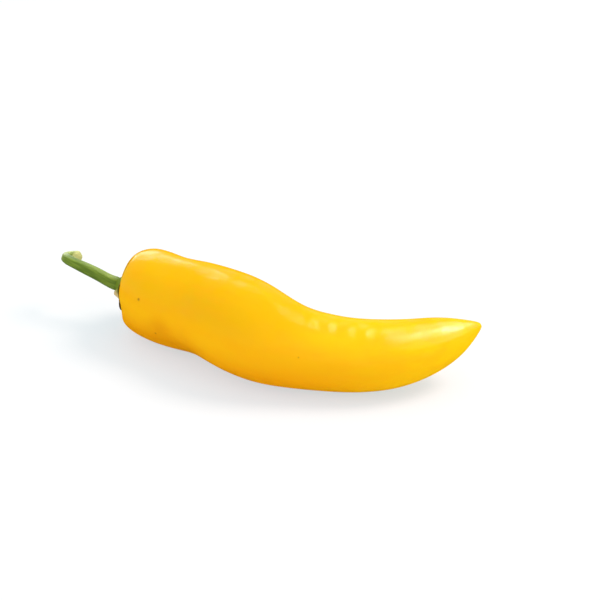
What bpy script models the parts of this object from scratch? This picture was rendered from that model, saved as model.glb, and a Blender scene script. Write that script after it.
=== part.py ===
"""A long yellow sweet pepper lying on a table: the fruit, the calyx that caps it and its cut stem.

Metres, +Z up. The pepper lies along X with its stem at -X and its tip at +X. The origin is the middle of
the pepper's box, on the surface that it rests on.
"""

import math

import bmesh
import bpy
import numpy as np
from mathutils import Matrix, Vector

MM = 0.001
UP = Vector((0, 0, 1))

# The fruit is a ring of FRUIT_SIDES points carried along its middle line. A station is the middle of the
# fruit (x, y, z) and its half-width there, in mm, from the shoulder to the tip. Some of them sit a little
# lower than their half-width, so that the floor leaves the fruit flat where it rests.
FRUIT_SIDES = 24
FRUIT_STATIONS = (
    (-60.4, 22.6, 22.8, 21.8),
    (-52.6, 17.0, 22.7, 23.4),
    (-42.5, 9.6, 22.7, 23.5),
    (-32.8, 5.0, 22.9, 23.7),
    (-23.6, -1.2, 23.4, 24.0),
    (-13.9, -10.4, 24.2, 24.7),
    (-4.1, -18.8, 23.8, 24.1),
    (5.8, -24.6, 22.0, 22.2),
    (17.9, -28.0, 19.6, 19.8),
    (29.1, -29.4, 18.2, 18.7),
    (43.0, -31.4, 17.4, 17.9),
    (61.3, -31.4, 17.8, 17.0),
    (75.6, -28.2, 19.6, 14.6),
    (85.6, -25.8, 22.2, 12.2),
    (94.5, -25.0, 25.6, 8.3),
    (101.4, -23.4, 28.2, 3.6),
    (104.2, -22.6, 29.2, 1.2),
)

# The shoulder turns over into the shallow dimple under the calyx. Its rings face SHOULDER_WAY: how far
# out each one is from the first station, and its half-width, in mm, from the dimple outwards.
SHOULDER_WAY = Vector((-0.95, 0.31, 0.04)).normalized()
SHOULDER_RINGS = ((6.2, 4.0), (6.6, 8.0), (7.6, 12.0), (7.2, 15.6), (4.6, 19.2))

# The grooves between the lobes, and the flat on top near the tip. A knot is the station (negative on the
# shoulder's own rings), the angle round the fruit in degrees (0 at the back, 90 on top, 180 at the front)
# and the depth as a share of the half-width.
FRONT_GROOVE = ((-4, 188, 0.03), (0, 190, 0.07), (2, 207, 0.06), (4.3, 232, 0.07), (7, 245, 0.0))
TOP_GROOVE = ((-4, 62, 0.02), (0, 56, 0.02), (1.6, 52, 0.03), (3, 38, 0.04), (6, 25, 0.04), (9, 15, 0.0))
UNDER_GROOVE = ((-4, 305, 0.02), (0, 305, 0.06), (4, 320, 0.06), (8, 335, 0.03), (12, 345, 0.0))
TOP_FLAT = ((8.5, 112, 0.0), (10, 116, 0.03), (11.5, 120, 0.09), (13, 122, 0.12), (15, 122, 0.08))
GROOVE_SHARPNESS = 14

# Places where the skin is pressed in, or out where the depth is negative: the point (x, y, z), how far
# the dent reaches and how deep it is, in mm.
DENTS = (
    ((-72.0, 10.0, 22.0), 9, 2.8),
    ((-67.5, 7.4, 9.0), 9, 1.0),
    ((-49.0, 29.4, 42.0), 14, -1.4),
    ((-41.0, 25.0, 41.6), 12, 1.8),
)
SURFACE_LEVELS = 1

# The block that stands in for the table, in mm.
FLOOR_SIZE = (300, 200, 20)

# The calyx is turned about the shoulder's axis. A point is its radius and its height above the first
# station, in mm, from the collar that holds the stem out to the rim, and back underneath.
CALYX_SIDES = 36
CALYX_PROFILE = (
    (0.0, 13.0),
    (3.4, 13.0),
    (4.1, 12.2),
    (5.1, 11.4),
    (6.6, 10.6),
    (8.6, 9.9),
    (11.2, 9.2),
    (11.4, 8.6),
    (8.4, 7.8),
    (4.0, 7.2),
    (0.0, 7.1),
)

# The stem's middle line from the collar, round its hook and on to the cut end, and its half-width, in mm.
STEM_SIDES = 12
STEM_STATIONS = (
    (-73.1, 26.74, 23.33, 3.4),
    (-79.1, 28.9, 24.9, 3.3),
    (-83.0, 30.6, 26.6, 3.1),
    (-87.7, 32.4, 28.2, 3.1),
    (-91.9, 34.0, 29.5, 2.9),
    (-95.7, 36.0, 30.4, 2.7),
    (-98.7, 38.1, 30.8, 2.7),
    (-100.8, 40.8, 30.6, 2.7),
    (-101.4, 43.8, 29.6, 2.8),
    (-100.3, 46.1, 28.8, 2.9),
    (-97.8, 46.4, 28.5, 3.1),
    (-95.1, 44.6, 29.1, 3.3),
)

# Base colour and roughness of each piece.
SKIN = ((0.93, 0.46, 0.01), 0.3)
CALYX_GREEN = ((0.17, 0.2, 0.05), 0.7)
STEM_GREEN = ((0.2, 0.33, 0.06), 0.5)


def clear_scene():
    """Removes the objects that the scene starts with."""
    for thing in list(bpy.data.objects):
        bpy.data.objects.remove(thing)


def material(name, colour, roughness):
    """A plain finish with no metal in it."""
    made = bpy.data.materials.new(name)
    made.use_nodes = True
    shader = made.node_tree.nodes["Principled BSDF"]
    shader.inputs["Base Color"].default_value = (*colour, 1)
    shader.inputs["Roughness"].default_value = roughness
    shader.inputs["Metallic"].default_value = 0
    return made


def place_object(name, bm):
    """Turns the mesh into a smooth-shaded object of that name."""
    bmesh.ops.recalc_face_normals(bm, faces=bm.faces)
    mesh = bpy.data.meshes.new(name)
    bm.to_mesh(mesh)
    bm.free()
    mesh.shade_smooth()
    made = bpy.data.objects.new(name, mesh)
    bpy.context.scene.collection.objects.link(made)
    return made


def ring_place(middle, forward, radius=1.0):
    """What carries a unit circle in XY to a ring of that radius, square to forward."""
    side = UP.cross(forward).normalized()
    top = forward.cross(side)
    turn = Matrix((side, top, forward)).transposed().to_4x4()
    return Matrix.Translation(middle) @ turn @ Matrix.Diagonal((radius, radius, 1, 1))


def station_places(stations):
    """The ring at each station, square to the line that runs through its neighbours."""
    middles = [Vector(station[:3]) * MM for station in stations]
    befores = [middles[0], *middles[:-1]]
    afters = [*middles[1:], middles[-1]]
    forwards = [(after - before).normalized() for before, after in zip(befores, afters)]
    radii = [station[3] * MM for station in stations]
    return [ring_place(*ring) for ring in zip(middles, forwards, radii)]


def shoulder_start():
    """The first station's middle, which the shoulder and the calyx are measured from."""
    return Vector(FRUIT_STATIONS[0][:3]) * MM


def fruit_places():
    """The rings of the fruit, from the bottom of its dimple, over the shoulder and on to the tip."""
    shoulder = []
    for out, radius in SHOULDER_RINGS:
        middle = shoulder_start() + SHOULDER_WAY * out * MM
        shoulder.append(ring_place(middle, -SHOULDER_WAY, radius * MM))
    return shoulder + station_places(FRUIT_STATIONS)


def loft(bm, places, sides, swell=lambda angle, step: 1.0):
    """Carries a ring of vertices from place to place, and closes both ends with a fan.

    swell gives the outline at each place, as a share of the ring's radius at each angle.
    """
    ring = bmesh.ops.create_circle(bm, segments=sides, radius=1)["verts"]
    edges = bm.edges[:]
    caps = bmesh.ops.edgeloop_fill(bm, edges=edges)["faces"]
    before = Matrix.Identity(4)
    for step, place in enumerate(places):
        if step > 0:
            made = bmesh.ops.extrude_edge_only(bm, edges=edges)["geom"]
            ring = [part for part in made if isinstance(part, bmesh.types.BMVert)]
            edges = [part for part in made if isinstance(part, bmesh.types.BMEdge)]
        for vert in ring:
            spot = before.inverted() @ vert.co
            angle = math.atan2(spot.y, spot.x)
            outline = Vector((math.cos(angle), math.sin(angle), 0)) * swell(angle, step)
            vert.co = place @ outline
        before = place
    caps += bmesh.ops.edgeloop_fill(bm, edges=edges)["faces"]
    bmesh.ops.poke(bm, faces=caps)


def lobed(angle, step):
    """The outline of the fruit cut across, with its grooves and its flat."""
    station = step - len(SHOULDER_RINGS)
    share = 1.0
    for groove in (FRONT_GROOVE, TOP_GROOVE, UNDER_GROOVE, TOP_FLAT):
        stations, angles, depths = zip(*groove)
        apart = angle - math.radians(np.interp(station, stations, angles))
        nearness = ((1 + math.cos(apart)) / 2) ** GROOVE_SHARPNESS
        share -= np.interp(station, stations, depths) * nearness
    return share


def press(bm, dents):
    """Pushes the skin in along its own normals, fading out to each dent's reach."""
    bmesh.ops.recalc_face_normals(bm, faces=bm.faces)
    bm.normal_update()
    for middle, reach, depth in dents:
        for vert in bm.verts:
            near = 1 - (vert.co - Vector(middle) * MM).length / (reach * MM)
            if near > 0:
                vert.co -= vert.normal * depth * MM * near * near * (3 - 2 * near)


def add_floor_cutter():
    """The block under the table's surface, which leaves the fruit flat where it rests."""
    size = Vector(FLOOR_SIZE) * MM
    bm = bmesh.new()
    bmesh.ops.create_cube(bm, size=1)
    bmesh.ops.scale(bm, vec=size, verts=bm.verts)
    bmesh.ops.translate(bm, vec=(0, 0, -size.z / 2), verts=bm.verts)
    cutter = place_object("floor_cutter", bm)
    cutter.hide_render = True
    cutter.display_type = "WIRE"
    return cutter


def add_fruit():
    bm = bmesh.new()
    loft(bm, fruit_places(), FRUIT_SIDES, lobed)
    press(bm, DENTS)
    fruit = place_object("fruit", bm)
    fruit.data.materials.append(material("skin", *SKIN))
    smooth = fruit.modifiers.new("smooth", "SUBSURF")
    smooth.levels = SURFACE_LEVELS
    smooth.render_levels = SURFACE_LEVELS
    flat = fruit.modifiers.new("resting_flat", "BOOLEAN")
    flat.operation = "DIFFERENCE"
    flat.object = add_floor_cutter()


def add_calyx():
    bm = bmesh.new()
    points = [bm.verts.new((radius * MM, 0, height * MM)) for radius, height in CALYX_PROFILE]
    edges = [bm.edges.new(pair) for pair in zip(points, points[1:])]
    bmesh.ops.spin(
        bm,
        geom=points + edges,
        cent=(0, 0, 0),
        axis=(0, 0, 1),
        angle=math.tau,
        steps=CALYX_SIDES,
        use_merge=True,
    )
    bmesh.ops.remove_doubles(bm, verts=bm.verts, dist=0.001 * MM)
    bmesh.ops.transform(bm, matrix=ring_place(shoulder_start(), SHOULDER_WAY), verts=bm.verts)
    calyx = place_object("calyx", bm)
    calyx.data.materials.append(material("calyx_green", *CALYX_GREEN))


def stem_places():
    """The rings of the stem, whose first one stands square on the calyx."""
    places = station_places(STEM_STATIONS)
    places[0] = ring_place(places[0].translation, SHOULDER_WAY, STEM_STATIONS[0][3] * MM)
    return places


def add_stem():
    bm = bmesh.new()
    loft(bm, stem_places(), STEM_SIDES)
    stem = place_object("stem", bm)
    stem.data.materials.append(material("stem_green", *STEM_GREEN))


clear_scene()
add_fruit()
add_calyx()
add_stem()
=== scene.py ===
import math

import bmesh
import bpy
import numpy as np
from mathutils import Matrix, Vector, noise


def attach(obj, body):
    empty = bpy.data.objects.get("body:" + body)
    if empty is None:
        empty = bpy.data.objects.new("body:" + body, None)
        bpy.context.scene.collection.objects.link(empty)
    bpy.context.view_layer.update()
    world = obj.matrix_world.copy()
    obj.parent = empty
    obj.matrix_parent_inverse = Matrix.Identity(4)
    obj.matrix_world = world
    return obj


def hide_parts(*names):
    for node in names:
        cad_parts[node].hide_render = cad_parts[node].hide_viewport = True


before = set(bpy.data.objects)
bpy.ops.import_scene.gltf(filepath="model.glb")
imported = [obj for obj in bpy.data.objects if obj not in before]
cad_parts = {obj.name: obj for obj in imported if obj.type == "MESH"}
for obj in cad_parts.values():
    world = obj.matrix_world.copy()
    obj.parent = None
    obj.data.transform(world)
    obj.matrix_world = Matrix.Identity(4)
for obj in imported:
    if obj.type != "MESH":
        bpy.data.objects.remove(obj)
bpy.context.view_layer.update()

# A long yellow sweet pepper lying on a pale table: the fruit, the calyx that caps it and its cut stem.
# Lengths below are in mm, and MM turns them into metres. Only the lamps' lengths and TABLE_REACH are in
# metres already.
MM = 0.001
UP = Vector((0, 0, 1))

# The camera looks along +Y and down on the pepper. LENS is in mm for a film FILM_WIDTH wide.
CAMERA_TARGET = (18.4, 16.8, 20.0)
CAMERA_DISTANCE = 750
CAMERA_TILT = math.radians(30)
LENS = 90
FILM_WIDTH = 36

# The fruit's middle line and half-width from the shoulder to the tip: x, y, z, half-width.
FRUIT_SIDES = 24
FRUIT_STATIONS = (
    (-60.4, 22.6, 22.8, 21.8),
    (-52.6, 17.0, 22.7, 23.4),
    (-42.5, 9.6, 22.7, 23.5),
    (-32.8, 5.0, 22.9, 23.7),
    (-23.6, -1.2, 23.4, 24.0),
    (-13.9, -10.4, 24.2, 24.7),
    (-4.1, -18.8, 23.8, 24.1),
    (5.8, -24.6, 22.0, 22.2),
    (17.9, -28.0, 19.6, 19.8),
    (29.1, -29.4, 18.2, 18.7),
    (43.0, -31.4, 17.4, 17.9),
    (61.3, -31.4, 17.8, 17.0),
    (75.6, -28.2, 19.6, 14.6),
    (85.6, -25.8, 22.2, 12.2),
    (94.5, -25.0, 25.6, 8.3),
    (101.4, -23.4, 28.2, 3.6),
    (104.2, -22.6, 29.2, 1.2),
)

# The shoulder turns over into the shallow dimple under the calyx: how far out each ring is from the first
# station along SHOULDER_WAY, and its half-width, from the dimple outwards.
SHOULDER_WAY = Vector((-0.95, 0.31, 0.04)).normalized()
SHOULDER_RINGS = ((6.2, 4.0), (6.6, 8.0), (7.6, 12.0), (7.2, 15.6), (4.6, 19.2))

# The grooves between the lobes, and the flat on top near the tip. A knot is the station (negative on the
# shoulder's own rings), the angle round the fruit in degrees (0 at the back, 90 on top, 180 at the front)
# and the depth as a share of the half-width.
FRONT_GROOVE = ((-4, 188, 0.03), (0, 190, 0.07), (2, 207, 0.06), (4.3, 232, 0.07), (7, 245, 0.0))
TOP_GROOVE = ((-4, 62, 0.02), (0, 56, 0.02), (1.6, 52, 0.03), (3, 38, 0.04), (6, 25, 0.04), (9, 15, 0.0))
UNDER_GROOVE = ((-4, 305, 0.02), (0, 305, 0.06), (4, 320, 0.06), (8, 335, 0.03), (12, 345, 0.0))
TOP_FLAT = ((8.5, 112, 0.0), (10, 116, 0.03), (11.5, 120, 0.09), (13, 122, 0.12), (15, 122, 0.08))
GROOVE_SHARPNESS = 14

# Places where the skin is pressed in, or out where the depth is negative: the point, the reach, the depth.
DENTS = (
    ((-72.0, 10.0, 22.0), 9, 2.8),
    ((-67.5, 7.4, 9.0), 9, 1.0),
    ((-49.0, 29.4, 42.0), 14, -1.4),
    ((-41.0, 25.0, 41.6), 12, 1.8),
)
SKIN_LEVELS = 3

# Small wrinkles that cross the ridge where the fruit begins to taper. WRINKLE_FADE is the share of their
# line that they rise over at its start and sink over at its end.
WRINKLE_START = Vector((14.7, -29.8, 39.5))
WRINKLE_END = Vector((60.0, -39.0, 32.5))
WRINKLE_SPACING = 8.9
WRINKLE_WIDTH = 8
WRINKLE_HEIGHT = 0.3
WRINKLE_FADE = 0.25

# Waves of the skin along its normals: their length across and along the fruit, and their height.
SKIN_WAVES = ((24, 34, 0.32), (8, 26, 0.09), (5, 8, 0.045))

# The calyx is turned about the shoulder's axis: radius and height above the first station. Its plate
# begins at PLATE_START, as a share of the rim's radius. Vertices within MERGE_REACH become one.
CALYX_SIDES = 120
CALYX_PROFILE = (
    (0.0, 13.8),
    (3.2, 13.8),
    (3.5, 13.4),
    (4.0, 12.5),
    (4.9, 11.6),
    (6.2, 10.8),
    (7.8, 10.2),
    (9.6, 9.7),
    (11.7, 9.4),
    (12.1, 9.0),
    (11.8, 8.6),
    (9.4, 8.1),
    (6.0, 7.6),
    (0.0, 7.3),
)
PLATE_START = 0.4
MERGE_REACH = 0.001

# The blunt teeth of the rim: how many, the angle of the first in degrees, how far one reaches out past the
# gaps beside it, how much higher it stands, and how deep the valleys are that run in from the gaps.
CALYX_TEETH = 5
TOOTH_TURN = -44
TOOTH_LENGTH = 1.6
TOOTH_LIFT = 0.6
VALLEY_DEPTH = 0.7

# How far the rim strays from that outline at most, the radius of the circle through a noise that it strays
# by, and the share by which its upper side is drawn in.
RIM_WANDER = 1.4
WANDER_RADIUS = 2
UPPER_SHRINK = 0.4

# The dried lip that stands up beside the stem: the angle round the calyx and the half-width in degrees, the
# radius where it is highest, its reach from there and its height.
LIP_ANGLE = -25
LIP_WIDTH = 40
LIP_RADIUS = 5.8
LIP_REACH = 2.6
LIP_HEIGHT = 3.2

# The stem's middle line from the calyx, round its hook and on to the cut end, and its half-width.
STEM_SIDES = 24
STEM_STATIONS = (
    (-72.6, 26.57, 23.31, 3.7),
    (-75.6, 27.6, 23.9, 3.4),
    (-79.1, 28.9, 24.9, 3.2),
    (-83.0, 30.6, 26.6, 3.1),
    (-87.7, 32.4, 28.2, 3.1),
    (-91.9, 34.0, 29.5, 2.9),
    (-95.7, 36.0, 30.4, 2.7),
    (-98.7, 38.1, 30.8, 2.7),
    (-100.8, 40.8, 30.6, 2.7),
    (-101.4, 43.8, 29.6, 2.8),
    (-100.3, 46.1, 28.8, 2.9),
    (-97.9, 46.4, 28.6, 3.1),
    (-96.1, 44.6, 29.4, 3.3),
)
STEM_LEVELS = 2

# The ribs along the stem: how many, their height as a share of its half-width, and how far they shift from
# one station to the next, in radians of a rib's own wave.
STEM_RIBS = 6
RIB_HEIGHT = 0.05
RIB_TWIST = 0.12

# The cut face: how far each of its rings is past the last station, and its share of the half-width there.
CUT_RINGS = ((0.3, 0.98), (0.7, 0.88), (1.0, 0.7), (1.15, 0.4))

# The skin's colours: on top a darker, yellower tone painted as shade against the stronger light there, gold
# down the side, orange underneath as painted shade, a deeper burnt orange as painted shade in the furrow,
# lemon towards the tip that is partly the skin's own hue and partly painted light, amber in its mottling
# and brown in its specks.
PAINTED_TOP_YELLOW = (0.82, 0.445, 0.002)
GOLD = (0.93, 0.47, 0.005)
PAINTED_SHADE_ORANGE = (0.84, 0.315, 0.002)
FURROW_SHADE_ORANGE = (0.74, 0.26, 0.002)
LEMON_AND_PAINTED_LIGHT = (0.9, 0.535, 0.005)
AMBER = (0.92, 0.4, 0.005)
SPECK_BROWN = (0.2, 0.035, 0.004)

# Where they change: the heights above the table where the painted top tone gives way to gold and gold to
# the painted shade underneath, and how far along the fruit lemon takes over. On top lemon does so sooner,
# as painted light, where the skin is that far above the middle line.
PAINTED_TOP_HEIGHTS = (42, 28)
PAINTED_SHADE_HEIGHTS = (27, 8)
TIP_LEMON_AND_LIGHT_STRETCH = (90, 180)
SKIN_TOP_LIGHT_STRETCH = (95, 125)
SKIN_TOP_LIGHT_RISE = (8, 16)
SKIN_TOP_LIGHT_SHARE = 0.8
MOTTLE_SHARE = 0.35

# The skin's wax is a clear coat whose weight varies in blotches, up to WAX_WEIGHT. Patches of it are part
# worn away near the tip.
WAX_WEIGHT = 0.72
WORN_STRETCH = (130, 160)
WORN_SHARE = 0.3

# Spots on the skin, each with its point, how far it reaches and how strong it is: brown specks, patches of
# burnt orange painted as shade in the furrow, and places where the wax shines more or less.
SPECKS = (
    ((-59.8, -3.6, 32.1), 1.2, 0.75),
    ((-51.9, -8.8, 16.0), 1.0, 0.6),
    ((17.7, -46.3, 25.8), 0.7, 0.4),
    ((62.6, -40.7, 31.0), 0.6, 0.3),
)
# Patches of painted shade in burnt orange down the furrow low on the front.
FURROW_SHADE_PATCHES = (
    ((-49.0, -12.0, 21.0), 10, 0.5),
    ((-50.0, -8.0, 12.0), 16, 0.4),
    ((-34.0, -18.0, 10.0), 20, 0.5),
)
SHINY_SPOTS = (
    ((87.5, -31.0, 31.7), 8, 0.6),
    ((95.0, -28.0, 31.0), 7, 0.4),
    ((-74.0, 14.0, 28.0), 26, 0.6),
)
DULL_SPOTS = (
    ((15.0, -32.0, 40.3), 15, 0.6),
    ((-29.0, 0.0, 46.5), 20, 0.6),
)

# The calyx's colours from the stem outwards, and the tan of the patch that has dried through. Each takes
# over between two degrees of dryness, which is 0 where the plate begins and 1 at the rim, or 0 round the
# patch and 1 in its middle, with blotches added.
CALYX_GREEN = (0.14, 0.215, 0.015)
CALYX_OLIVE = (0.15, 0.17, 0.03)
CALYX_BROWN = (0.07, 0.027, 0.004)
CALYX_TAN = (0.6, 0.45, 0.2)
OLIVE_DRYNESS = (0.25, 0.55)
BROWN_DRYNESS = (0.76, 1)
TAN_DRYNESS = (0.4, 0.95)
BLOTCH_DRYNESS = 0.45
DRIED_PATCH = ((-74.0, 21.3, 19.6), 6)

# The stem's colours: the dark and light of its streaks, a lighter green painted as light along its top, the
# hook and the cut face. The painted light shows that far above the stem's middle line. A stretch is how far
# along the stem a colour sets in.
STEM_DARK = (0.097, 0.168, 0.012)
STEM_LIGHT = (0.18, 0.27, 0.025)
STEM_TOP_LIGHT = (0.25, 0.34, 0.045)
STEM_PALE = (0.36, 0.43, 0.11)
CUT_TAN = (0.5, 0.5, 0.17)
STEM_TOP_LIGHT_RISE = (2.5, 3.4)
STEM_TOP_LIGHT_STRETCH = (0, 6)
PALE_STRETCH = (30, 37)

# The table's top: half its width in metres, and how far it lies under the pepper, so that the two don't
# share a surface. It is warm and glows cool, which keeps the pepper's shadow on it neutral.
TABLE_REACH = 3
TABLE_DROP = 0.1
TABLE_COLOUR = (0.5, 0.4, 0.35)
TABLE_GLOW = (0.61, 0.87, 1)
GLOW_STRENGTH = 0.59

# The strength of the room's light, and how far above and below level it fades out, as the height of a
# direction that is 1 long.
ROOM_STRENGTH = 0.96
HORIZON_BLUR = 0.05

# The lamps that gloss doesn't mirror, and those that only gloss mirrors: the name, the place, target and
# size in metres, and the power in watts.
SHADING_LAMPS = (
    ("key_softbox", (1.24, 0.24, 1.6), (0, 0, 0), (0.9, 0.9), 20),
    ("front_fill", (0.8, -0.7, 0.15), (0.05, -0.02, 0.02), (0.6, 0.5), 1.0),
    ("left_fill", (-0.9, 0.1, 0.35), (-0.05, 0.02, 0.02), (0.6, 0.5), 0.9),
)
GLOSS_LAMPS = (
    ("tip_softbox", (0.195, 0.065, 0.3), (0.195, 0.065, 0), (0.21, 0.26), 1.6),
    ("tip_inner_softbox", (0.2, -0.008, 0.29), (0.2, -0.008, 0), (0.09, 0.06), 0.55),
    ("tip_outer_softbox", (0.34, 0.0, 0.31), (0.34, 0.0, 0), (0.44, 0.5), 4.5),
    ("back_left_softbox", (-0.185, 0.4, 0.22), (-0.185, 0, 0.22), (0.27, 0.33), 1.5),
    ("back_softbox", (0.015, 0.4, 0.455), (0.015, 0, 0.455), (0.21, 0.36), 0.6),
)


def eased(share):
    """0 up to 0, 1 from 1, with a smooth change between them."""
    share = min(max(share, 0), 1)
    return share * share * (3 - 2 * share)


def ring_place(middle, forward, radius=1.0):
    """What carries a unit circle in XY to a ring of that radius, square to forward."""
    side = UP.cross(forward).normalized()
    top = forward.cross(side)
    turn = Matrix((side, top, forward)).transposed().to_4x4()
    return Matrix.Translation(middle) @ turn @ Matrix.Diagonal((radius, radius, 1, 1))


def station_places(stations):
    """The ring at each station, square to the line that runs through its neighbours."""
    middles = [Vector(station[:3]) * MM for station in stations]
    befores = [middles[0], *middles[:-1]]
    afters = [*middles[1:], middles[-1]]
    forwards = [(after - before).normalized() for before, after in zip(befores, afters)]
    radii = [station[3] * MM for station in stations]
    return [ring_place(*ring) for ring in zip(middles, forwards, radii)]


def shoulder_start():
    """The first station's middle, which the shoulder and the calyx are measured from."""
    return Vector(FRUIT_STATIONS[0][:3]) * MM


def fruit_places():
    """The rings of the fruit, from the bottom of its dimple, over the shoulder and on to the tip."""
    shoulder = []
    for out, radius in SHOULDER_RINGS:
        middle = shoulder_start() + SHOULDER_WAY * out * MM
        shoulder.append(ring_place(middle, -SHOULDER_WAY, radius * MM))
    return shoulder + station_places(FRUIT_STATIONS)


def loft(bm, places, sides, swell):
    """Carries a ring of vertices from place to place, and closes both ends with a fan.

    swell gives the outline at each place, as a share of the ring's radius at each angle. The attribute
    grain keeps where each vertex would be if the piece were a straight rod along Z, with its top at +Y.
    """
    grain = bm.verts.layers.float_vector.new("grain")
    ring = bmesh.ops.create_circle(bm, segments=sides, radius=1)["verts"]
    edges = bm.edges[:]
    caps = bmesh.ops.edgeloop_fill(bm, edges=edges)["faces"]
    before = Matrix.Identity(4)
    travelled = 0
    for step, place in enumerate(places):
        if step > 0:
            made = bmesh.ops.extrude_edge_only(bm, edges=edges)["geom"]
            ring = [part for part in made if isinstance(part, bmesh.types.BMVert)]
            edges = [part for part in made if isinstance(part, bmesh.types.BMEdge)]
            travelled += (place.translation - before.translation).length
        radius = place.to_scale().x
        for vert in ring:
            spot = before.inverted() @ vert.co
            angle = math.atan2(spot.y, spot.x)
            outline = Vector((math.cos(angle), math.sin(angle), 0)) * swell(angle, step)
            vert.co = place @ outline
            vert[grain] = outline * radius + UP * travelled
        before = place
    caps += bmesh.ops.edgeloop_fill(bm, edges=edges)["faces"]
    for vert in bmesh.ops.poke(bm, faces=caps)["verts"]:
        around = [edge.other_vert(vert)[grain] for edge in vert.link_edges]
        vert[grain] = sum(around, Vector()) / len(around)


def lobed(angle, step):
    """The outline of the fruit cut across, with its grooves and its flat."""
    station = step - len(SHOULDER_RINGS)
    share = 1.0
    for groove in (FRONT_GROOVE, TOP_GROOVE, UNDER_GROOVE, TOP_FLAT):
        stations, angles, depths = zip(*groove)
        apart = angle - math.radians(np.interp(station, stations, angles))
        nearness = ((1 + math.cos(apart)) / 2) ** GROOVE_SHARPNESS
        share -= np.interp(station, stations, depths) * nearness
    return share


def ribbed(angle, step):
    """The outline of the stem cut across, with its lengthwise ribs."""
    return 1 + RIB_HEIGHT * math.cos(STEM_RIBS * angle + RIB_TWIST * step)


def press(bm, dents):
    """Pushes the skin in along its own normals, fading out to each dent's reach."""
    bmesh.ops.recalc_face_normals(bm, faces=bm.faces)
    bm.normal_update()
    for middle, reach, depth in dents:
        for vert in bm.verts:
            near = 1 - (vert.co - Vector(middle) * MM).length / (reach * MM)
            vert.co -= vert.normal * depth * MM * eased(near)


def crinkle(bm):
    """Raises the wrinkles, which fade out at both ends of their line and to its sides."""
    bm.normal_update()
    line = WRINKLE_END - WRINKLE_START
    for vert in bm.verts:
        way = vert.co / MM - WRINKLE_START
        ahead = way.dot(line) / line.length
        aside = (way - line * ahead / line.length).length
        share = eased(1 - aside / WRINKLE_WIDTH)
        share *= eased(ahead / line.length / WRINKLE_FADE)
        share *= eased((1 - ahead / line.length) / WRINKLE_FADE)
        height = WRINKLE_HEIGHT * share * math.cos(math.tau * ahead / WRINKLE_SPACING)
        vert.co += vert.normal * height * MM


def wave(bm, waves):
    """Raises and lowers the surface along its normals in soft waves.

    Each wave is shifted along by its own width, so that no two of them rise at the same places.
    """
    grain = bm.verts.layers.float_vector["grain"]
    bm.normal_update()
    moves = []
    for vert in bm.verts:
        across, up, along = vert[grain] / MM
        height = 0
        for wide, long, high in waves:
            height += high * noise.noise(Vector((across / wide, up / wide, along / long + wide)))
        moves.append(vert.normal * height * MM)
    for vert, move in zip(bm.verts, moves):
        vert.co += move


def smoothed(bm, levels):
    """Turns the mesh into what it is after that many levels of subdivision."""
    mesh = bpy.data.meshes.new("cage")
    bm.to_mesh(mesh)
    cage = bpy.data.objects.new("cage", mesh)
    bpy.context.scene.collection.objects.link(cage)
    subdivision = cage.modifiers.new("smooth", "SUBSURF")
    subdivision.levels = levels
    subdivision.render_levels = levels
    bpy.context.view_layer.update()
    finished = cage.evaluated_get(bpy.context.evaluated_depsgraph_get())
    bm.clear()
    bm.from_mesh(finished.to_mesh())
    bpy.data.objects.remove(cage)
    bpy.data.meshes.remove(mesh)


def place_piece(name, bm, finish, node):
    """Turns the mesh into a smooth-shaded piece that stands for a CAD node."""
    bmesh.ops.recalc_face_normals(bm, faces=bm.faces)
    mesh = bpy.data.meshes.new(name)
    bm.to_mesh(mesh)
    bm.free()
    mesh.shade_smooth()
    mesh.materials.append(finish)
    piece = bpy.data.objects.new(name, mesh)
    bpy.context.scene.collection.objects.link(piece)
    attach(piece, "root")
    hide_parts(node)
    return piece


def add_fruit():
    """The fruit, which is flat where it rests on the table."""
    bm = bmesh.new()
    loft(bm, fruit_places(), FRUIT_SIDES, lobed)
    press(bm, DENTS)
    smoothed(bm, SKIN_LEVELS)
    crinkle(bm)
    wave(bm, SKIN_WAVES)
    for vert in bm.verts:
        vert.co.z = max(vert.co.z, 0)
    fruit = place_piece("pepper_fruit", bm, skin_finish(), "fruit")


def toothed(bm):
    """Draws the rim of the calyx out into teeth, and raises the dried lip.

    The attribute dry keeps how far out each vertex is, from 0 where the plate begins to 1 at the rim.
    """
    rim, rim_height = (number * MM for number in max(CALYX_PROFILE))
    dry = bm.verts.layers.float.new("dry")
    for vert in bm.verts:
        radius = math.hypot(vert.co.x, vert.co.y)
        angle = math.atan2(vert.co.y, vert.co.x)
        outward = max(0, (radius / rim - PLATE_START) / (1 - PLATE_START))
        vert[dry] = outward
        gap = (1 - math.cos(CALYX_TEETH * (angle - math.radians(TOOTH_TURN)))) / 2
        around = Vector((math.cos(angle), math.sin(angle), 0)) * WANDER_RADIUS
        wander = RIM_WANDER * noise.noise(around)
        upper = outward * max(0, math.sin(angle))
        halfway = 4 * outward * (1 - outward)
        scale = 1 + (wander - TOOTH_LENGTH * gap) * MM * outward**2 / rim - UPPER_SHRINK * upper
        vert.co.x *= scale
        vert.co.y *= scale
        vert.co.z -= TOOTH_LIFT * MM * gap * outward**3
        if vert.co.z > rim_height:
            vert.co.z -= VALLEY_DEPTH * MM * gap * halfway
        round_lip = 1 - abs(math.degrees(angle) - LIP_ANGLE) / LIP_WIDTH
        across_lip = 1 - abs(radius / MM - LIP_RADIUS) / LIP_REACH
        vert.co.z += LIP_HEIGHT * MM * eased(round_lip) * eased(across_lip)


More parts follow.
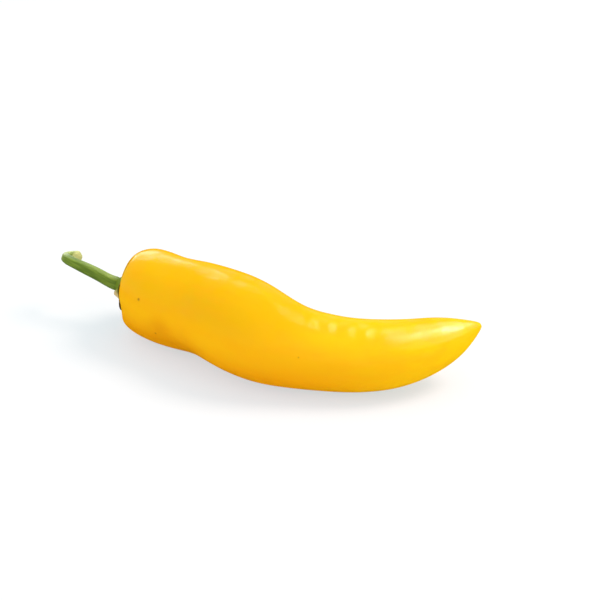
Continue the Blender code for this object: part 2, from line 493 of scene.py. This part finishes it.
def add_calyx():
    """The calyx, turned about the shoulder's axis and then shaped into teeth."""
    bm = bmesh.new()
    points = [bm.verts.new((radius * MM, 0, height * MM)) for radius, height in CALYX_PROFILE]
    edges = [bm.edges.new(pair) for pair in zip(points, points[1:])]
    bmesh.ops.spin(
        bm,
        geom=points + edges,
        cent=(0, 0, 0),
        axis=(0, 0, 1),
        angle=math.tau,
        steps=CALYX_SIDES,
        use_merge=True,
    )
    bmesh.ops.remove_doubles(bm, verts=bm.verts, dist=MERGE_REACH * MM)
    toothed(bm)
    bmesh.ops.transform(bm, matrix=ring_place(shoulder_start(), SHOULDER_WAY), verts=bm.verts)
    calyx = place_piece("pepper_calyx", bm, calyx_finish(), "calyx")


def stem_places():
    """The rings of the stem, the first one square on the calyx, and those of its cut face."""
    places = station_places(STEM_STATIONS)
    places[0] = ring_place(places[0].translation, SHOULDER_WAY, STEM_STATIONS[0][3] * MM)
    end = Vector(STEM_STATIONS[-1][:3]) * MM
    forward = (end - Vector(STEM_STATIONS[-2][:3]) * MM).normalized()
    for past, share in CUT_RINGS:
        radius = STEM_STATIONS[-1][3] * share * MM
        places.append(ring_place(end + forward * past * MM, forward, radius))
    return places


def mark_cut(bm):
    """Keeps in the attribute cut which vertices are on the stem's cut face.

    They are the rings from the second of CUT_RINGS on, and the vertex in the middle of the last one.
    """
    cut = bm.verts.layers.float.new("cut")
    grain = bm.verts.layers.float_vector["grain"]
    distances = sorted(vert[grain].z for vert in bm.verts)
    on_face = STEM_SIDES * (len(CUT_RINGS) - 1) + 1
    for vert in bm.verts:
        vert[cut] = float(vert[grain].z >= distances[-on_face])


def add_stem():
    """The stem, from inside the calyx to its cut face."""
    bm = bmesh.new()
    loft(bm, stem_places(), STEM_SIDES, ribbed)
    mark_cut(bm)
    smoothed(bm, STEM_LEVELS)
    stem = place_piece("pepper_stem", bm, stem_finish(), "stem")


class Finish:
    """A material in the making: its shader, and the kinds of node that the finishes share."""

    def __init__(self, name, settings):
        """Starts a material whose shader has those settings, each the same all over the surface."""
        self.material = bpy.data.materials.new(name)
        self.material.use_nodes = True
        self.tree = self.material.node_tree
        self.shader = self.tree.nodes["Principled BSDF"]
        for socket, value in settings.items():
            self.feed(self.shader.inputs[socket], value)

    def add(self, kind, **settings):
        """A new node with those settings."""
        made = self.tree.nodes.new(kind)
        for name, value in settings.items():
            setattr(made, name, value)
        return made

    def feed(self, socket, value):
        """Links a node's output to the socket, or sets it to a plain value."""
        if isinstance(value, bpy.types.NodeSocket):
            self.tree.links.new(value, socket)
        elif isinstance(value, tuple) and socket.type == "RGBA":
            socket.default_value = (*value, 1)
        else:
            socket.default_value = value

    def place(self):
        """Where the point is on the piece, in metres."""
        return self.add("ShaderNodeTexCoord").outputs["Object"]

    def grain(self):
        """Where the point would be if the piece were straight along Z, in metres."""
        return self.add("ShaderNodeAttribute", attribute_name="grain").outputs["Vector"]

    def attribute(self, name):
        """The number that the mesh keeps under that name."""
        return self.add("ShaderNodeAttribute", attribute_name=name).outputs["Fac"]

    def part_of(self, vector, axis):
        """One of a vector's three numbers."""
        apart = self.add("ShaderNodeSeparateXYZ")
        self.feed(apart.inputs[0], vector)
        return apart.outputs[axis]

    def noise(self, where, size, detail, long=1.0):
        """Soft blotches of that size in mm, mostly between 0.3 and 0.7, which may be stretched along Z."""
        scaled = self.add("ShaderNodeMapping")
        self.feed(scaled.inputs["Vector"], where)
        scaled.inputs["Scale"].default_value = (1, 1, 1 / long)
        texture = self.add("ShaderNodeTexNoise")
        self.feed(texture.inputs["Vector"], scaled.outputs["Vector"])
        texture.inputs["Scale"].default_value = 1 / (size * MM)
        texture.inputs["Detail"].default_value = detail
        return texture.outputs["Fac"]

    def fade(self, value, start, end):
        """0 where the value is at start, 1 where it is at end, with a smooth change between them."""
        scale = self.add("ShaderNodeMapRange", interpolation_type="SMOOTHSTEP")
        self.feed(scale.inputs["Value"], value)
        scale.inputs["From Min"].default_value = start
        scale.inputs["From Max"].default_value = end
        return scale.outputs["Result"]

    def fade_over(self, length, stretch):
        """The same for a length in metres, over a stretch that is given in mm."""
        start, end = stretch
        return self.fade(length, start * MM, end * MM)

    def maths(self, operation, first, second):
        """The two values added, subtracted or multiplied, kept between 0 and 1."""
        result = self.add("ShaderNodeMath", operation=operation, use_clamp=True)
        self.feed(result.inputs[0], first)
        self.feed(result.inputs[1], second)
        return result.outputs["Value"]

    def times(self, value, share):
        """That share of the value."""
        return self.maths("MULTIPLY", value, share)

    def less(self, value, share):
        """The value with that share of it taken away."""
        return self.times(value, self.maths("SUBTRACT", 1, share))

    def mix(self, factor, first, second):
        """The first colour where the factor is 0, the second where it is 1."""
        blend = self.add("ShaderNodeMix", data_type="RGBA")
        self.feed(blend.inputs["Factor"], factor)
        self.feed(blend.inputs["A"], first)
        self.feed(blend.inputs["B"], second)
        return blend.outputs["Result"]

    def spot(self, where, middle, reach, strength=1.0):
        """The strength at a point of the piece, fading to 0 at that distance in mm."""
        apart = self.add("ShaderNodeVectorMath", operation="DISTANCE")
        self.feed(apart.inputs[0], where)
        apart.inputs[1].default_value = Vector(middle) * MM
        return self.times(self.fade_over(apart.outputs["Value"], (reach, 0)), strength)

    def bump(self, height, depth):
        """A fine relief of that depth in mm."""
        made = self.add("ShaderNodeBump")
        self.feed(made.inputs["Height"], height)
        made.inputs["Distance"].default_value = depth * MM
        self.feed(self.shader.inputs["Normal"], made.outputs["Normal"])


def skin_colour(skin, where, along):
    """Gold down the side, with painted shade: a darker yellow on top and orange underneath and in the
    furrow; lemon towards the tip, partly painted light.
    """
    height = skin.part_of(where, "Z")
    # Painted shade: a darker yellow on top, where the light is strongest, and orange underneath.
    colour = skin.mix(skin.fade_over(height, PAINTED_TOP_HEIGHTS), PAINTED_TOP_YELLOW, GOLD)
    colour = skin.mix(skin.fade_over(height, PAINTED_SHADE_HEIGHTS), colour, PAINTED_SHADE_ORANGE)
    # Painted shade in burnt orange down the furrow.
    for patch in FURROW_SHADE_PATCHES:
        colour = skin.mix(skin.spot(where, *patch), colour, FURROW_SHADE_ORANGE)
    # Lemon towards the tip, partly the skin's own hue and partly painted light.
    colour = skin.mix(skin.fade_over(along, TIP_LEMON_AND_LIGHT_STRETCH), colour, LEMON_AND_PAINTED_LIGHT)
    # Painted light: lemon sooner on top, where the skin is far above the middle line.
    top = skin.fade_over(skin.part_of(skin.grain(), "Y"), SKIN_TOP_LIGHT_RISE)
    top = skin.times(top, skin.fade_over(along, SKIN_TOP_LIGHT_STRETCH))
    colour = skin.mix(skin.times(top, SKIN_TOP_LIGHT_SHARE), colour, LEMON_AND_PAINTED_LIGHT)
    mottle = skin.fade(skin.noise(skin.grain(), size=7, detail=5, long=2.5), start=0.38, end=0.68)
    colour = skin.mix(skin.times(mottle, MOTTLE_SHARE), colour, AMBER)
    for speck in SPECKS:
        colour = skin.mix(skin.spot(where, *speck), colour, SPECK_BROWN)
    return colour


def skin_wax(skin, where, along):
    """The weight of the wax, which is blotched, and part worn away near the tip."""
    wax = skin.fade(skin.noise(where, size=4.5, detail=5), start=0.1, end=0.9)
    wax = skin.times(wax, WAX_WEIGHT)
    for spot in SHINY_SPOTS:
        wax = skin.maths("ADD", wax, skin.spot(where, *spot))
    for spot in DULL_SPOTS:
        wax = skin.less(wax, skin.spot(where, *spot))
    worn = skin.fade(skin.noise(where, size=4, detail=5), start=0.58, end=0.42)
    worn = skin.times(worn, skin.fade_over(along, WORN_STRETCH))
    return skin.less(wax, skin.times(worn, WORN_SHARE))


def skin_finish():
    """Waxy skin over flesh that the light sinks a little way into."""
    skin = Finish(
        "pepper_skin",
        {
            "Roughness": 0.45,
            "Specular IOR Level": 0,
            "Coat Roughness": 0.14,
            "Coat IOR": 1.25,
            "Subsurface Weight": 0.15,
            "Subsurface Radius": (1, 0.4, 0.1),
            "Subsurface Scale": 3 * MM,
        },
    )
    where = skin.place()
    along = skin.part_of(skin.grain(), "Z")
    skin.feed(skin.shader.inputs["Base Color"], skin_colour(skin, where, along))
    skin.feed(skin.shader.inputs["Coat Weight"], skin_wax(skin, where, along))
    skin.bump(skin.noise(where, size=1.6, detail=5), depth=0.04)
    return skin.material


def calyx_finish():
    """Green where it clasps the stem, dark brown towards the rim, and tan where it has dried through."""
    calyx = Finish("pepper_calyx", {"Roughness": 0.7, "Specular IOR Level": 0.1})
    where = calyx.place()
    blotches = calyx.times(calyx.noise(where, size=3, detail=4), BLOTCH_DRYNESS)
    dryness = calyx.maths("ADD", calyx.attribute("dry"), blotches)
    colour = calyx.mix(calyx.fade(dryness, *OLIVE_DRYNESS), CALYX_GREEN, CALYX_OLIVE)
    colour = calyx.mix(calyx.fade(dryness, *BROWN_DRYNESS), colour, CALYX_BROWN)
    dried = calyx.maths("ADD", calyx.spot(where, *DRIED_PATCH), blotches)
    colour = calyx.mix(calyx.fade(dried, *TAN_DRYNESS), colour, CALYX_TAN)
    calyx.feed(calyx.shader.inputs["Base Color"], colour)
    calyx.bump(calyx.noise(where, size=0.8, detail=4), depth=0.15)
    return calyx.material


def stem_finish():
    """Streaked green, with painted light along its top, lighter round the hook, and tan where it was cut.
    """
    stem = Finish("pepper_stem", {"Roughness": 0.5, "Specular IOR Level": 0.2})
    grain = stem.grain()
    along = stem.part_of(grain, "Z")
    streaks = stem.fade(stem.noise(grain, size=1.1, detail=3, long=9), start=0.35, end=0.7)
    colour = stem.mix(streaks, STEM_DARK, STEM_LIGHT)
    # Painted light: a lighter green along the stem's top, from the calyx on.
    stem_top_light = stem.fade_over(stem.part_of(grain, "Y"), STEM_TOP_LIGHT_RISE)
    stem_top_light = stem.times(stem_top_light, stem.fade_over(along, STEM_TOP_LIGHT_STRETCH))
    colour = stem.mix(stem_top_light, colour, STEM_TOP_LIGHT)
    colour = stem.mix(stem.fade_over(along, PALE_STRETCH), colour, STEM_PALE)
    colour = stem.mix(stem.fade(stem.attribute("cut"), start=0.1, end=0.5), colour, CUT_TAN)
    stem.feed(stem.shader.inputs["Base Color"], colour)
    stem.bump(stem.noise(grain, size=0.5, detail=3, long=6), depth=0.08)
    return stem.material


def add_table():
    """A wide table that glows, as the lit tables that such things are photographed on do."""
    bm = bmesh.new()
    bmesh.ops.create_grid(bm, size=TABLE_REACH)
    mesh = bpy.data.meshes.new("table_top")
    bm.to_mesh(mesh)
    bm.free()
    settings = {
        "Roughness": 0.9,
        "Specular IOR Level": 0,
        "Base Color": TABLE_COLOUR,
        "Emission Color": TABLE_GLOW,
        "Emission Strength": GLOW_STRENGTH,
    }
    mesh.materials.append(Finish("pale_table", settings).material)
    table = bpy.data.objects.new("table_top", mesh)
    bpy.context.scene.collection.objects.link(table)
    table.location.z = -TABLE_DROP * MM
    table.visible_glossy = False


def add_softbox(name, place, target, sides, power):
    """A flat oval lamp of that size in metres, which faces the target."""
    light = bpy.data.lights.new(name, "AREA")
    light.shape = "ELLIPSE"
    light.size, light.size_y = sides
    light.energy = power
    lamp = bpy.data.objects.new(name, light)
    bpy.context.scene.collection.objects.link(lamp)
    lamp.location = place
    lamp.rotation_euler = (Vector(place) - Vector(target)).to_track_quat("Z", "Y").to_euler()
    lamp.visible_camera = False
    return lamp


def add_lamps():
    """The lamps that shade the pepper, and those that only its gloss mirrors."""
    for lamp in SHADING_LAMPS:
        add_softbox(*lamp).visible_glossy = False
    for lamp in GLOSS_LAMPS:
        add_softbox(*lamp).visible_diffuse = False


def add_room():
    """An even pale room with a dark floor, so that only the table lights the pepper from below."""
    world = bpy.data.worlds.new("pale_room")
    world.use_nodes = True
    tree = world.node_tree
    way = tree.nodes.new("ShaderNodeTexCoord")
    height = tree.nodes.new("ShaderNodeSeparateXYZ")
    above = tree.nodes.new("ShaderNodeMapRange")
    above.inputs["From Min"].default_value = -HORIZON_BLUR
    above.inputs["From Max"].default_value = HORIZON_BLUR
    above.inputs["To Max"].default_value = ROOM_STRENGTH
    tree.links.new(way.outputs["Generated"], height.inputs["Vector"])
    tree.links.new(height.outputs["Z"], above.inputs["Value"])
    tree.links.new(above.outputs["Result"], tree.nodes["Background"].inputs["Strength"])
    tree.nodes["Background"].inputs["Color"].default_value = (1, 1, 1, 1)
    bpy.context.scene.world = world


def add_camera():
    """The photograph's view: from the front and above, through a long lens."""
    data = bpy.data.cameras.new("camera")
    data.lens = LENS
    data.sensor_width = FILM_WIDTH
    camera = bpy.data.objects.new("camera", data)
    bpy.context.scene.collection.objects.link(camera)
    back = Vector((0, -math.cos(CAMERA_TILT), math.sin(CAMERA_TILT)))
    camera.location = (Vector(CAMERA_TARGET) + back * CAMERA_DISTANCE) * MM
    camera.rotation_euler = (math.pi / 2 - CAMERA_TILT, 0, 0)
    bpy.context.scene.camera = camera


add_fruit()
add_calyx()
add_stem()
add_table()
add_room()
add_lamps()
add_camera()
bpy.context.scene.view_settings.view_transform = "Standard"
